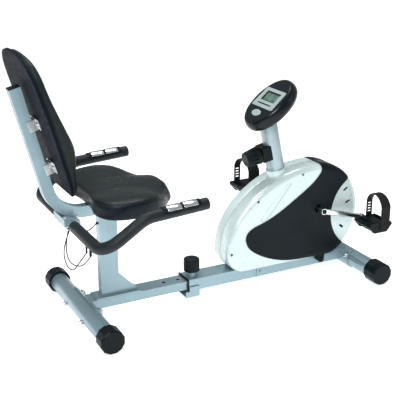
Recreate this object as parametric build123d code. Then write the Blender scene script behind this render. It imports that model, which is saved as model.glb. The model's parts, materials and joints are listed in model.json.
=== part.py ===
from build123d import *

import os
from math import atan2, cos, degrees, hypot, pi, radians, sin, sqrt, tan

# Recumbent exercise bike. Millimetres, +Z up, +X from the seat towards the flywheel.
# Every piece is drawn with x = 0 at the rear stabiliser, and moved back by
# bike_centre_x when it is written, so that the origin is under the middle of the bike.

# Overall layout
bike_centre_x = 438.005
stabiliser_gap = 1014.6
tube_radius = 30.0
wall = 2.5
cap_radius = 38.0
cap_end_wall = 7.0
rear_half_width = 267.0
front_half_width = 239.0
rear_cap_length = 47.0
front_cap_length = 60.0
axis_z = cap_radius

# Sliding rail
rail_z = 50.5
inner_half_y = 30.0
inner_half_z = 15.0
outer_half_y = 35.0
outer_half_z = 20.0
outer_wall = 3.0
inner_front_x = 585.0
outer_rear_x = 365.0
bushing_length = 55.0
slide_gap = 0.1
pin_x = 392.0
hole_pitch = 52.0
hole_radius = 6.5
saddle_thickness = 4.0
rear_saddle_half = 95.0
front_saddle_half = 76.0
rear_bolt_y = 76.0
front_bolt_y = 60.0
rear_bolt_tilt = 21.0
front_bolt_tilt = 155.0
bolt_radius = 4.0

# Pull pin
pin_radius = 5.9
stem_radius = 3.5
sleeve_radius = 16.0
sleeve_top = 96.0
pin_tip_z = rail_z + inner_half_z + 0.3
knob_bottom = 89.0
knob_top = 133.0
knob_radius = 27.0

# Seat post and the bent seat frame tube
post_x = 93.0
post_half_x = 30.0
post_half_y = 15.0
foot_thickness = 5.0
frame_half_depth = 18.0
frame_half_y = 15.0
frame_bend = 114.0
frame_front = (215.0, 367.0)
frame_corner = (-72.3, 367.0)
frame_top = (-174.7, 770.0)

# Seat
seat_bottom_z = 398.0
seat_top_z = 442.0
pan_front_x = 222.0
seat_half_widths = [
    (10.0, 142.0),
    (26.0, 180.0),
    (60.0, 201.0),
    (98.0, 208.0),
    (142.0, 206.0),
    (186.0, 190.0),
    (228.0, 152.0),
    (260.0, 122.0),
    (288.0, 98.0),
    (308.0, 66.0),
]
seat_front_x = 318.0
seat_rear_x = 12.0
seat_rear_half = 108.0
seat_pan_inset = 26.0

# Backrest, drawn on its own plane: y across, v up along the board, w forward
back_foot = (-53.0, 0.0, 465.0)
back_lean = 17.0
board_thickness = 9.0
back_low = -15.0
back_height = 430.0
back_bolt_radius = 3.5
back_bolt_w = -11.0
board_screw_y = 27.0
board_screw_radius = 2.0
board_screw_depth = 6.0

# Handlebar
bar_radius = 14.0
foam_radius = 18.0
bar_half_width = 303.0
bar_low = (-35.0, 343.0)
bar_rise = (98.0, 428.0)
bar_end = (291.0, 441.0)
foam_start_y = 65.0

# Pulse leads
lead_radius = 1.8

# Housing and drive
disc_x = 848.0
disc_z = 230.0
disc_radius = 180.0
shell_half = 57.0
shell_wall = 3.0
shell_fillet = 20.0
seam_half = 1.1
seam_depth = 2.0
accent_depth = 2.0
screw_radius = 2.5
screw_recess = 9.0
cover_thickness = 3.0
cover_lug = (879.0, 56.0)
housing_bottom = 64.0
crank_x = 857.0
crank_z = 251.0
crank_length = 170.0
crank_angle = -15.5
axle_radius = 8.0
running_gap = 0.05
flywheel_x = 632.0
flywheel_z = 200.0
flywheel_radius = 88.0
pulley_radius = 105.0
small_pulley_radius = 24.0
belt_y = -40.0
belt_thickness = 2.5
magnet_pivot_x = 552.0
magnet_pivot_z = 108.0

# Console post, tension control and console
post_radius = 30.0
spigot_radius = 27.0
post_foot_x = 787.5
post_slope = 0.22
post_start_z = 345.0
spigot_top_z = 420.0
control_z = 471.0
console_centre = (690.0, 0.0, 622.0)
console_tilt = 40.0
console_half_length = 105.0
console_half_width = 83.0
console_half_depth = 25.0
console_wall = 2.5

# Pedals
pedal_y = 156.0
pedal_half_y = 46.0
strap_thickness = 3.0
strap_buckle_end = {-1: (-4.0, 34.0), 1: (-22.0, 22.0)}
strap_holed_end = {-1: (6.0, 30.0), 1: (-26.0, -2.0)}
strap_gap_radius = 8.0
strap_height = 100.0


def box_between(x0, x1, y0, y1, z0, z1):
    centre = Pos((x0 + x1) / 2, (y0 + y1) / 2, (z0 + z1) / 2)
    return centre * Box(abs(x1 - x0), abs(y1 - y0), abs(z1 - z0))


def rod_y(radius, y0, y1, x, z):
    return Pos(x, (y0 + y1) / 2, z) * Rot(90, 0, 0) * Cylinder(radius, abs(y1 - y0))


def rod_z(radius, z0, z1, x, y=0.0):
    return Pos(x, y, (z0 + z1) / 2) * Cylinder(radius, z1 - z0)


def plate_y(face, y0, y1):
    """A flat outline in X and Z, given thickness along Y."""
    plane = Plane(origin=(0, y0, 0), x_dir=(1, 0, 0), z_dir=(0, -1, 0))
    return extrude(plane * face, amount=y1 - y0, dir=(0, 1, 0))


def rod_between(start, end, radius):
    start = Vector(*start)
    end = Vector(*end)
    run = end - start
    return Solid.make_cylinder(radius, run.length, Plane(start, z_dir=run))


def mirrored(shape):
    return mirror(shape, about=Plane.XZ)


def both_sides(shape):
    return Compound(children=[shape, mirrored(shape)])


def group(shapes):
    return Compound(children=list(shapes))


# Stabilisers ---------------------------------------------------------------


def bolt_axes(x, tilt, half_y):
    direction = (cos(radians(tilt)), 0, sin(radians(tilt)))
    for side in (-1, 1):
        yield Plane(origin=(x, side * half_y, axis_z), z_dir=direction)


def stabiliser_tube(x, half_width, tilt, bolt_y):
    half = half_width - cap_end_wall
    tube = rod_y(tube_radius, -half, half, x, axis_z)
    tube -= rod_y(tube_radius - wall, -half, half, x, axis_z)
    for plane in bolt_axes(x, tilt, bolt_y):
        tube -= plane * Cylinder(bolt_radius + 0.2, 4 * tube_radius)
    return tube


def saddle(x, toward, half_width, tilt, bolt_y):
    outer = tube_radius + saddle_thickness
    plate = rod_y(outer, -half_width, half_width, x, axis_z)
    plate -= rod_y(tube_radius, -half_width, half_width, x, axis_z)
    near = x + toward * 9
    far = x + toward * 60
    plate &= box_between(near, far, -half_width, half_width, -10, 120)
    for plane in bolt_axes(x, tilt, bolt_y):
        plate -= plane * Cylinder(bolt_radius + 0.2, 4 * tube_radius)
    return plate


def saddle_bolts(x, tilt, bolt_y):
    """Dome headed bolts through the saddle and the tube, each with a cap nut."""
    head_seat = tube_radius + saddle_thickness
    pieces = []
    for plane in bolt_axes(x, tilt, bolt_y):
        washer = Pos(0, 0, head_seat + 0.75) * Cylinder(13, 1.5)
        head = Pos(0, 0, head_seat + 4.25) * Cylinder(9.5, 5.5)
        head = fillet(head.edges().sort_by(Axis.Z)[-1], 4)
        shank = Pos(0, 0, (head_seat - tube_radius - 5) / 2)
        shank *= Cylinder(bolt_radius, head_seat + tube_radius + 5)
        bolt = washer + head + shank
        nut = Pos(0, 0, -tube_radius - 4) * Cylinder(7.5, 8)
        nut -= shank
        pieces.append(plane * bolt)
        pieces.append(plane * nut)
    return group(pieces)


def end_caps(x, half_width, length, ring_count):
    """Twelve flat sides, one of them on the floor, over the end of the tube."""
    outline = RegularPolygon(cap_radius, 12, major_radius=False, rotation=15)
    inner_y = half_width - length
    cap = Pos(x, 0, axis_z) * plate_y(outline, inner_y, half_width)
    rim = cap.edges().filter_by_position(Axis.Y, half_width - 0.01, half_width + 0.01)
    cap = chamfer(rim, 4)
    tube_end = half_width - cap_end_wall
    cap -= rod_y(tube_radius, inner_y, tube_end, x, axis_z)
    for ring in range(ring_count):
        ring_y = half_width - 10 - 7 * ring
        groove = rod_y(cap_radius + 5, ring_y - 2, ring_y, x, axis_z)
        groove -= rod_y(cap_radius - 1, ring_y - 2, ring_y, x, axis_z)
        groove -= box_between(x - 60, x + 60, ring_y - 3, ring_y + 1, -20, 3)
        cap -= groove
    return both_sides(cap)


# Rail ----------------------------------------------------------------------


def inner_rail_tube():
    """The sliding tube, welded to its saddle at the rear."""
    z0 = rail_z - inner_half_z
    z1 = rail_z + inner_half_z
    tube = box_between(10, inner_front_x, -inner_half_y, inner_half_y, z0, z1)
    tube -= box_between(
        0,
        inner_front_x + 10,
        -inner_half_y + wall,
        inner_half_y - wall,
        z0 + wall,
        z1 - wall,
    )
    outer = tube_radius + saddle_thickness
    tube -= rod_y(outer - 0.01, -50, 50, 0, axis_z)
    tube -= box_between(-40, 19, -50, 50, z0 - 1, z1 + 1)
    for step in range(-2, 3):
        tube -= rod_z(hole_radius, rail_z, z1 + 5, pin_x + step * hole_pitch)
    tube += saddle(0, 1, rear_saddle_half, rear_bolt_tilt, rear_bolt_y)
    return tube


def outer_rail_tube():
    """The fixed tube with its front saddle, pin sleeve and under bracket welded on."""
    z0 = rail_z - outer_half_z
    z1 = rail_z + outer_half_z
    front_x = stabiliser_gap - 9
    tube = box_between(outer_rear_x, front_x, -outer_half_y, outer_half_y, z0, z1)
    tube -= box_between(
        outer_rear_x - 1,
        front_x + 1,
        -outer_half_y + outer_wall,
        outer_half_y - outer_wall,
        z0 + outer_wall,
        z1 - outer_wall,
    )
    outer = tube_radius + saddle_thickness
    tube -= rod_y(outer - 0.01, -50, 50, stabiliser_gap, axis_z)
    tube += saddle(stabiliser_gap, -1, front_saddle_half, front_bolt_tilt, front_bolt_y)
    tube += rod_z(sleeve_radius, z1, sleeve_top, pin_x)
    tube -= rod_z(pin_radius + running_gap, rail_z, z1 + 1, pin_x)
    tube -= rod_z(9.5, z1 + 0.8, sleeve_top - 2.5, pin_x)
    tube -= rod_z(stem_radius + running_gap, z1, sleeve_top + 1, pin_x)
    bracket = box_between(352, 402, -outer_half_y - 5, outer_half_y + 5, 10, 46)
    bracket -= box_between(350, 404, -outer_half_y - 2, outer_half_y + 2, 13, 60)
    tube += bracket - box_between(350, 365.5, -50, 50, 30, 60)
    tube += box_between(365.5, 402, -outer_half_y - 2, -outer_half_y, 34, 46)
    tube += box_between(365.5, 402, outer_half_y, outer_half_y + 2, 34, 46)
    plate = box_between(626, 656, -outer_half_y - 3, -outer_half_y, 32, 63)
    tube += plate + rod_y(6, -outer_half_y - 7, -outer_half_y - 3, 641, 47)
    return tube


def rail_bushing():
    """Plastic liner in the mouth of the outer tube, with a flange behind it."""
    y_in = inner_half_y + slide_gap
    z_in = inner_half_z + slide_gap
    y_out = outer_half_y - outer_wall
    z_out = outer_half_z - outer_wall
    x1 = outer_rear_x + bushing_length
    liner = box_between(
        outer_rear_x, x1, -y_out, y_out, rail_z - z_out, rail_z + z_out
    )
    flange = box_between(
        outer_rear_x - 5,
        outer_rear_x,
        -outer_half_y - 2,
        outer_half_y + 2,
        rail_z - outer_half_z - 2,
        rail_z + outer_half_z + 2,
    )
    liner += flange
    liner -= box_between(
        outer_rear_x - 10, x1 + 1, -y_in, y_in, rail_z - z_in, rail_z + z_in
    )
    liner -= rod_z(pin_radius + 0.3, rail_z, rail_z + 40, pin_x)
    return liner


def pull_pin():
    z1 = rail_z + outer_half_z
    pin = rod_z(pin_radius, pin_tip_z, z1 + 8, pin_x)
    pin += rod_z(9, z1 + 8, z1 + 10, pin_x)
    pin += rod_z(stem_radius, z1 + 10, knob_top - 14, pin_x)
    return pin


def pull_pin_spring():
    z0 = rail_z + outer_half_z + 10
    z1 = sleeve_top - 2.5
    path = Helix(pitch=(z1 - z0 - 2) / 4, height=z1 - z0 - 2, radius=6.5)
    start = Plane(origin=path @ 0, z_dir=path % 0)
    wire = sweep(start * Circle(0.8), path=path)
    return Pos(pin_x, 0, z0 + 1) * wire


def pull_pin_knob():
    knob = rod_z(knob_radius, knob_bottom, knob_top, pin_x)
    knob = fillet(knob.edges().group_by(Axis.Z)[-1], 5)
    knob -= rod_z(sleeve_radius + 2, knob_bottom, sleeve_top + 9, pin_x)
    knob -= rod_z(stem_radius, knob_bottom, knob_top - 14, pin_x)
    for flute in range(16):
        turn = radians(flute * 22.5)
        x = pin_x + (knob_radius + 2) * cos(turn)
        y = (knob_radius + 2) * sin(turn)
        knob -= rod_z(3.6, knob_bottom - 1, knob_top - 9, x, y)
    return knob


# Seat section --------------------------------------------------------------


def seat_post():
    """Post, foot plate and gusset, welded together and to the sliding tube."""
    foot_z = rail_z + inner_half_z
    top_z = frame_corner[1] - frame_half_depth
    x0 = post_x - post_half_x
    x1 = post_x + post_half_x
    post = box_between(x0, x1, -post_half_y, post_half_y, foot_z, top_z)
    post -= box_between(
        x0 + wall,
        x1 - wall,
        -post_half_y + wall,
        post_half_y - wall,
        foot_z + foot_thickness,
        top_z + 1,
    )
    post -= Pos(x0, 0, 316) * Rot(0, 90, 0) * Cylinder(4, 20)
    foot = box_between(
        40, 192, -inner_half_y, inner_half_y, foot_z, foot_z + foot_thickness
    )
    foot_top = foot_z + foot_thickness
    cheek = make_face(Polyline((x1, foot_top), (190, foot_top), (x1, 138), close=True))
    hollow = make_face(
        Polyline((x1, foot_top - 1), (183, foot_top - 1), (x1, 128), close=True)
    )
    gusset = plate_y(cheek, -post_half_y, post_half_y)
    gusset -= plate_y(hollow, -post_half_y + 3, post_half_y - 3)
    return post + foot + gusset


def frame_outline(half_depth, extra=0.0):
    """The bent seat frame tube seen from the side, as a strip along its path."""
    ahead = (frame_front[0] + extra, frame_front[1])
    run_x = frame_top[0] - frame_corner[0]
    run_z = frame_top[1] - frame_corner[1]
    run = hypot(run_x, run_z)
    above = (frame_top[0] + extra * run_x / run, frame_top[1] + extra * run_z / run)
    path = FilletPolyline(ahead, frame_corner, above, radius=frame_bend)
    return trace(path.edges(), 2 * half_depth)


def seat_frame_tube():
    tube = plate_y(frame_outline(frame_half_depth), -frame_half_y, frame_half_y)
    inner = frame_outline(frame_half_depth - 2, extra=2.0)
    tube -= plate_y(inner, -frame_half_y + 2, frame_half_y - 2)
    return tube


def end_plug(origin, direction):
    plane = Plane(
        origin=(origin[0], 0, origin[1]),
        x_dir=(0, 1, 0),
        z_dir=(direction[0], 0, direction[1]),
    )
    head = Pos(0, 0, 2) * Box(2 * frame_half_y, 2 * frame_half_depth, 4)
    head = fillet(head.edges().group_by(Axis.Z)[-1], 1.5)
    tail = Pos(0, 0, -7) * Box(2 * frame_half_y - 4, 2 * frame_half_depth - 4, 14)
    return plane * (head + tail)


def seat_frame_plugs():
    run_x = frame_top[0] - frame_corner[0]
    run_z = frame_top[1] - frame_corner[1]
    run = hypot(run_x, run_z)
    top = end_plug(frame_top, (run_x / run, run_z / run))
    return group([top, end_plug(frame_front, (1, 0))])


def seat_plan(inset=0.0):
    """Broad behind, narrowing to a rounded nose."""
    right = [(x, -(half - inset)) for x, half in seat_half_widths]
    left = [(x, half - inset) for x, half in reversed(seat_half_widths)]
    nose = [(seat_front_x - inset, 0)]
    corner = seat_rear_half - inset
    rear = [(seat_rear_x + inset, corner), (seat_rear_x + inset, -corner)]
    front = Spline(rear[1], *right, *nose, *left, rear[0])
    return make_face([front.edge(), Line(rear[0], rear[1]).edge()])


def seat_cushion():
    side = make_face(
        Polyline(
            (0, seat_bottom_z),
            (pan_front_x, seat_bottom_z),
            (pan_front_x, seat_bottom_z - 14),
            (340, seat_bottom_z - 22),
            (340, seat_top_z - 22),
            (240, seat_top_z - 22),
            (182, seat_top_z),
            (0, seat_top_z),
            close=True,
        )
    )
    body = extrude(Pos(0, 0, seat_bottom_z - 40) * seat_plan(), amount=120)
    cushion = body & plate_y(side, -260, 260)
    top = cushion.edges().filter_by(lambda e: e.center().Z > seat_top_z - 24)
    top = top.filter_by(lambda e: abs(e.center().Y) > 1 or e.center().X < 30)
    top = top.filter_by(lambda e: not 181 < e.center().X < 183)
    top = top.filter_by(lambda e: not 239 < e.center().X < 241)
    return fillet(top, 8)


def seat_pan():
    pan = extrude(Pos(0, 0, seat_bottom_z - 13) * seat_plan(seat_pan_inset), amount=13)
    rear_x = seat_rear_x + seat_pan_inset
    return pan & box_between(rear_x, pan_front_x - 1, -260, 260, 300, 500)


def back_plane():
    lean = radians(back_lean)
    return Plane(origin=back_foot, x_dir=(0, 1, 0), z_dir=(cos(lean), 0, sin(lean)))


def back_front_view():
    """Outline of the backrest seen from the front, y across and v up."""
    right = [(122, 45), (134, 110), (144, 170), (149, 240), (146, 310), (132, 375)]
    right += [(90, 416)]
    left = [(-y, v) for y, v in reversed(right)]
    low = (98, back_low)
    side = Spline(low, *right, (0, back_height), *left, (-low[0], back_low))
    return make_face([side.edge(), Line((-low[0], back_low), low).edge()])


def backrest_board():
    board = extrude(back_front_view(), amount=board_thickness)
    for v in bracket_heights():
        for y in (-board_screw_y, board_screw_y):
            board -= Pos(y, v, 0) * Cylinder(board_screw_radius, 2 * board_screw_depth)
    return back_plane() * board


def backrest_cushion():
    """Thickest at the small of the back. Side view is w forward against v up."""
    b = board_thickness
    top = (27, back_height)
    low = (22, back_low)
    curve = Spline(low, (36, 45), (51, 105), (54, 145), (46, 200), (37, 265), (33, 340), top)
    points = [(b, back_height), (b, back_low), low]
    edges = [
        Line(top, points[0]).edge(),
        Line(points[0], points[1]).edge(),
        Line(points[1], points[2]).edge(),
        curve.edge(),
    ]
    profile = make_face(edges)
    across = Plane(origin=(200, 0, 0), x_dir=(0, 0, 1), z_dir=(-1, 0, 0))
    side = extrude(across * profile, amount=400)
    front = extrude(Pos(0, 0, b) * back_front_view(), amount=80)
    cushion = front & side
    return back_plane() * cushion


def bracket_heights():
    return (62.0, 205.0)


def backrest_brackets():
    """Channels round the frame tube that carry the board."""
    channels = []
    for v in bracket_heights():
        cheek = Pos(0, v, -15) * Box(2 * frame_half_y + 6, 34, 30)
        cheek -= Pos(0, v, -24.5) * Box(2 * frame_half_y, 40, 43)
        flange = Pos(0, v, -1.5) * Box(70, 34, 3)
        channel = cheek + flange
        channel -= Pos(0, v, back_bolt_w) * Rot(0, 90, 0) * Cylinder(back_bolt_radius, 60)
        for y in (-board_screw_y, board_screw_y):
            channel -= Pos(y, v, 0) * Cylinder(board_screw_radius, 20)
        channels.append(back_plane() * channel)
    return group(channels)


def backrest_bolts():
    """A cross bolt through each bracket, and two screws from it into the board."""
    bolts = []
    for v in bracket_heights():
        for y in (-board_screw_y, board_screw_y):
            head = Pos(y, v, -4.5) * Cylinder(5, 3)
            length = board_screw_depth + 3
            shank = Pos(y, v, length / 2 - 3) * Cylinder(board_screw_radius, length)
            bolts.append(back_plane() * (head + shank))
        half = frame_half_y + 3
        bolt = Cylinder(back_bolt_radius, 2 * half)
        bolt += Pos(0, 0, half + 2) * Cylinder(6.5, 4)
        bolt += Pos(0, 0, -half - 2) * Cylinder(6.5, 4)
        bolts.append(back_plane() * Pos(0, v, back_bolt_w) * Rot(0, 90, 0) * bolt)
    return group(bolts)


# Handlebar and pulse sensors -------------------------------------------------


def bar_points(y):
    low = (bar_low[0], y, bar_low[1])
    rise = (bar_rise[0], y, bar_rise[1])
    return low, rise


def swept(path, radius):
    start = Plane(origin=path @ 0, z_dir=path % 0)
    return sweep(start * Circle(radius), path=path)


def handlebar_path():
    far_low, far_rise = bar_points(bar_half_width)
    near_low, near_rise = bar_points(-bar_half_width)
    far_end = (bar_end[0] - 2, bar_half_width, bar_end[1] - 0.13)
    near_end = (bar_end[0] - 2, -bar_half_width, bar_end[1] - 0.13)
    points = (near_end, near_rise, near_low, far_low, far_rise, far_end)
    return FilletPolyline(*points, radius=[90, 60, 60, 90])


def half_bar_path():
    low, rise = bar_points(-bar_half_width)
    end = (bar_end[0] - 2, -bar_half_width, bar_end[1] - 0.13)
    start = (bar_low[0], -foam_start_y, bar_low[1])
    return FilletPolyline(start, low, rise, end, radius=[60, 90])


def handlebar_tube():
    path = handlebar_path()
    return swept(path, bar_radius) - swept(path, bar_radius - 2)


def foam_grips():
    path = half_bar_path()
    foam = swept(path, foam_radius) - swept(path, bar_radius)
    end = Plane(origin=path @ 1, z_dir=path % 1)
    tip = end * Pos(0, 0, 3) * Cylinder(foam_radius, 6)
    tip = fillet(tip.edges().sort_by(Axis.X)[-1], 4)
    return both_sides(foam + tip)


def grip_plane():
    rise = atan2(bar_end[1] - bar_rise[1], bar_end[0] - bar_rise[0])
    return Plane(
        origin=(bar_rise[0], -bar_half_width, bar_rise[1]),
        x_dir=(cos(rise), 0, sin(rise)),
        z_dir=(-sin(rise), 0, cos(rise)),
    )


def over_the_bar(x0, x1, inner, outer, reach):
    """Part of a sleeve round the grip, down to a height of reach above its centre."""
    length = x1 - x0
    ring = Pos((x0 + x1) / 2, 0, 0) * Rot(0, 90, 0) * Cylinder(outer, length)
    ring -= Pos((x0 + x1) / 2, 0, 0) * Rot(0, 90, 0) * Cylinder(inner, length)
    return ring & box_between(x0 - 1, x1 + 1, -40, 40, reach, 60)


def pulse_holders():
    holder = over_the_bar(50, 170, foam_radius + 0.05, foam_radius + 3, 2)
    for middle in (50, 110, 170):
        notch = Pos(middle, 0, -6) * Rot(90, 0, 0) * Cylinder(14, 80)
        holder -= notch
    return both_sides(grip_plane() * holder)


def pulse_plates():
    inner = foam_radius + 3.05
    first = over_the_bar(62, 106, inner, inner + 1.5, 11)
    second = over_the_bar(114, 158, inner, inner + 1.5, 11)
    pair = [grip_plane() * first, grip_plane() * second]
    return group(pair + [mirrored(piece) for piece in pair])


def handlebar_clamp():
    """Cradle plate welded under the bend of the frame tube."""
    x, z = bar_low
    block = box_between(x - 26, x + 26, -50, 50, z - 2, z + 30)
    block -= rod_y(bar_radius, -60, 60, x, z)
    frame = frame_outline(frame_half_depth)
    block -= plate_y(frame, -frame_half_y, frame_half_y)
    bulk = frame_outline(frame_half_depth - 3)
    block -= plate_y(bulk, -60, 60)
    block &= box_between(x - 26, x + 26, -50, 50, z - 2, z + 21)
    for side in (-1, 1):
        for offset in (-18, 18):
            block -= rod_z(3.2, z - 10, z + 40, x + offset, side * 38)
    return block


def handlebar_u_bolts():
    """Two U bolts under the bar, with a nut on each leg above the plate."""
    x, z = bar_low
    bolts = []
    for side in (-1, 1):
        y = side * 38
        under = FilletPolyline(
            (x - 18, y, z + 27),
            (x - 18, y, z - bar_radius - 4),
            (x + 18, y, z - bar_radius - 4),
            (x + 18, y, z + 27),
            radius=13,
        )
        bolts.append(swept(under, 3))
        for offset in (-18, 18):
            nut = rod_z(6, z + 21, z + 26, x + offset, y)
            bolts.append(nut - rod_z(3, z, z + 40, x + offset, y))
    return group(bolts)


def lead_routes():
    """Route points of the three pulse leads."""
    return {
        "pulse_lead_a": [
            (-35, -10, 318),
            (-52, -20, 272),
            (-58, -62, 234),
            (-54, -118, 238),
            (-44, -168, 258),
            (-35, -199, 298),
        ],
        "pulse_lead_b": [
            (-35, -20, 318),
            (-62, -30, 272),
            (-70, -66, 228),
            (-64, -116, 222),
            (-58, -152, 258),
            (-35, -165, 296),
        ],
        "pulse_lead_c": [
            (58, -2, 316),
            (27, -20, 300),
            (-3, -39, 319),
            (-15, -54, 343),
        ],
    }


def lead_tube(name, points):
    route = [Vector(*point) for point in points]
    runs = [b - a for a, b in zip(route, route[1:])]
    radii = []
    for before, after in zip(runs, runs[1:]):
        half_turn = radians(before.get_angle(after)) / 2
        shorter = min(before.length, after.length)
        radii.append(0.45 * shorter / tan(half_turn))
    path = FilletPolyline(*route, radius=radii)
    print(name, "radii", [round(r, 1) for r in radii], "length", round(path.length, 1))
    tube = swept(path, lead_radius)
    section = pi * lead_radius**2
    print(name, "volume over section times length", tube.volume / section / path.length)
    return tube


def pulse_lead_plugs():
    x, z = bar_low
    pieces = [
        rod_z(3.5, 318, z - bar_radius + 0.6, x, -10),
        rod_z(3.5, 318, z - bar_radius + 0.6, x, -20),
        rod_z(4, 298, z - foam_radius + 1, x, -199),
        rod_z(3, 296, z - foam_radius + 1, x, -165),
        rod_between((-15, -54, z), (x + bar_radius - 1, -54, z), 3.5),
        rod_between((58, 0, 316), (post_x - post_half_x + 2, 0, 316), 4),
    ]
    return group(pieces)


# Drive ---------------------------------------------------------------------


def post_axis_x(z):
    return post_foot_x - post_slope * (z - rail_z - outer_half_z)


def post_rod(radius, z0, z1):
    return rod_between((post_axis_x(z0), 0, z0), (post_axis_x(z1), 0, z1), radius)


def drive_frame():
    """Upright, bottom bracket shell and flywheel plate, welded to the rail."""
    rail_top = rail_z + outer_half_z
    upright = post_rod(spigot_radius, rail_top - 20, spigot_top_z)
    upright += box_between(842, 872, -15, 15, rail_top, crank_z)
    upright += box_between(755, crank_x, -14, 14, crank_z - 14, crank_z + 14)
    upright += rod_y(21, -34, 34, crank_x, crank_z)
    upright -= post_rod(spigot_radius - 2, rail_top - 40, spigot_top_z + 10)
    upright -= rod_y(17.5, -40, 40, crank_x, crank_z)
    foot = box_between(740, 890, -25, 25, rail_top, rail_top + 4)
    upright = upright & box_between(0, 1200, -60, 60, rail_top, 900)
    plate_outline = make_hull(
        [
            *(Pos(flywheel_x, flywheel_z) * Circle(20)).edges(),
            *(Pos(flywheel_x - 20, rail_top + 5) * Rectangle(110, 10)).edges(),
        ]
    )
    plate = plate_y(plate_outline, 8, 14)
    plate -= rod_y(6, 0, 30, flywheel_x, flywheel_z)
    plate += box_between(560, 745, -6, 30, rail_top, rail_top + 4)
    pivot = box_between(540, 564, 8, 14, rail_top, magnet_pivot_z + 10)
    pivot += box_between(540, 580, 0, 24, rail_top, rail_top + 4)
    pivot += rod_y(4, -26, 8, magnet_pivot_x, magnet_pivot_z)
    pivot &= plate_y(housing_outline(shell_wall + 0.5), -60, 60)
    cable = cable_points()
    hole = rod_between(cable[1], cable[2], 5)
    return upright - hole + foot + plate + pivot + flywheel_axle()


def bottom_bracket_bearings():
    bearing = rod_y(17.5, 24, 34, crank_x, crank_z)
    bearing -= rod_y(axle_radius + running_gap, 20, 40, crank_x, crank_z)
    return both_sides(bearing)


def flywheel_axle():
    axle = rod_y(6, -52, 20, flywheel_x, flywheel_z)
    nut = rod_y(10, 14, 19, flywheel_x, flywheel_z)
    return axle + nut


def flywheel():
    """Cast wheel with a hub, and the small belt pulley on the same hub."""
    x, z = flywheel_x, flywheel_z
    wheel = rod_y(flywheel_radius, -26, 0, x, z)
    wheel -= rod_y(flywheel_radius - 18, -30, -18, x, z)
    wheel -= rod_y(flywheel_radius - 18, -8, 4, x, z)
    wheel += rod_y(18, -50, 2, x, z)
    wheel += rod_y(small_pulley_radius, -45, -35, x, z)
    wheel += rod_y(small_pulley_radius + 3, -47, -45, x, z)
    wheel += rod_y(small_pulley_radius + 3, -35, -33, x, z)
    wheel -= rod_y(6 + running_gap, -60, 10, x, z)
    return wheel


def crank_pulley():
    x, z = crank_x, crank_z
    pulley = rod_y(pulley_radius, belt_y - 5, belt_y + 5, x, z)
    pulley -= rod_y(pulley_radius - 12, belt_y - 6, belt_y - 1, x, z)
    pulley -= rod_y(pulley_radius - 12, belt_y + 2, belt_y + 6, x, z)
    pulley += rod_y(20, belt_y - 8, belt_y + 5, x, z)
    pulley -= rod_y(axle_radius, -80, 0, x, z)
    for spoke in range(5):
        turn = radians(spoke * 72)
        hole_x = x + 56 * cos(turn)
        hole_z = z + 56 * sin(turn)
        pulley -= rod_y(18, -80, 0, hole_x, hole_z)
    return pulley


def drive_belt():
    """Flat belt round both pulleys, a hair clear of them so that they can turn."""
    def loop(extra):
        big = Pos(crank_x, crank_z) * Circle(pulley_radius + extra)
        small = Pos(flywheel_x, flywheel_z) * Circle(small_pulley_radius + extra)
        return plate_y(make_hull([*big.edges(), *small.edges()]), belt_y - 4, belt_y + 4)

    return loop(running_gap + belt_thickness) - loop(running_gap)


def magnet_bracket():
    """Arm round the back of the flywheel with four magnets close to its rim."""
    x, z = flywheel_x, flywheel_z
    arm = rod_y(flywheel_radius + 13, -24, -2, x, z)
    arm -= rod_y(flywheel_radius + 9, -30, 2, x, z)
    wedge = make_face(
        Polyline((x, z), (x - 190, z + 110), (x - 190, z - 205), close=True)
    )
    arm &= plate_y(wedge, -30, 4)
    lug = rod_y(10, -24, -2, magnet_pivot_x, magnet_pivot_z)
    reach = rod_between(
        (magnet_pivot_x, -13, magnet_pivot_z),
        (x - (flywheel_radius + 11) * cos(radians(46)), -13, z - 99 * sin(radians(46))),
        5,
    )
    arm += lug + reach
    for place in (150, 170, 190, 210):
        turn = radians(place)
        block = Rot(0, -place, 0) * Pos(flywheel_radius + 6.5, 0, 0) * Box(6, 18, 16)
        arm += Pos(x, -13, z) * block
    arm -= rod_y(flywheel_radius + 2.5, -40, 10, x, z)
    return arm - rod_y(4 + running_gap, -40, 10, magnet_pivot_x, magnet_pivot_z)


# Housing -------------------------------------------------------------------


def housing_outline(inset=0.0):
    """Side view: a long nose towards the rider running into the flywheel disc."""
    lift = sqrt(disc_radius**2 - (disc_z - housing_bottom) ** 2)
    disc_low = (disc_x + lift, housing_bottom)
    disc_top = (disc_x, disc_z + disc_radius)
    disc = ThreePointArc(disc_low, (disc_x + disc_radius, disc_z), disc_top)
    back = TangentArc(disc_top, (577, 303), tangent=(-1, 0))
    nose = TangentArc((577, 303), (501, 152), tangent=back % 1)
    chin = TangentArc((501, 152), (562, housing_bottom), tangent=nose % 1)
    floor = Line((562, housing_bottom), disc_low)
    edges = [disc.edge(), back.edge(), nose.edge(), chin.edge(), floor.edge()]
    outline = make_face(edges)
    if inset == 0:
        return outline
    return offset(outline, amount=-inset, kind=Kind.INTERSECTION)


def housing_blank(grow=0.0):
    """Right half of the housing, y < 0, as a solid with a rounded outer edge."""
    half = shell_half + grow
    body = plate_y(housing_outline(-grow), -half, 0)
    edge = body.edges().filter_by_position(Axis.Y, -half - 0.01, -half + 0.01)
    return fillet(edge, shell_fillet + grow)


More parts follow.
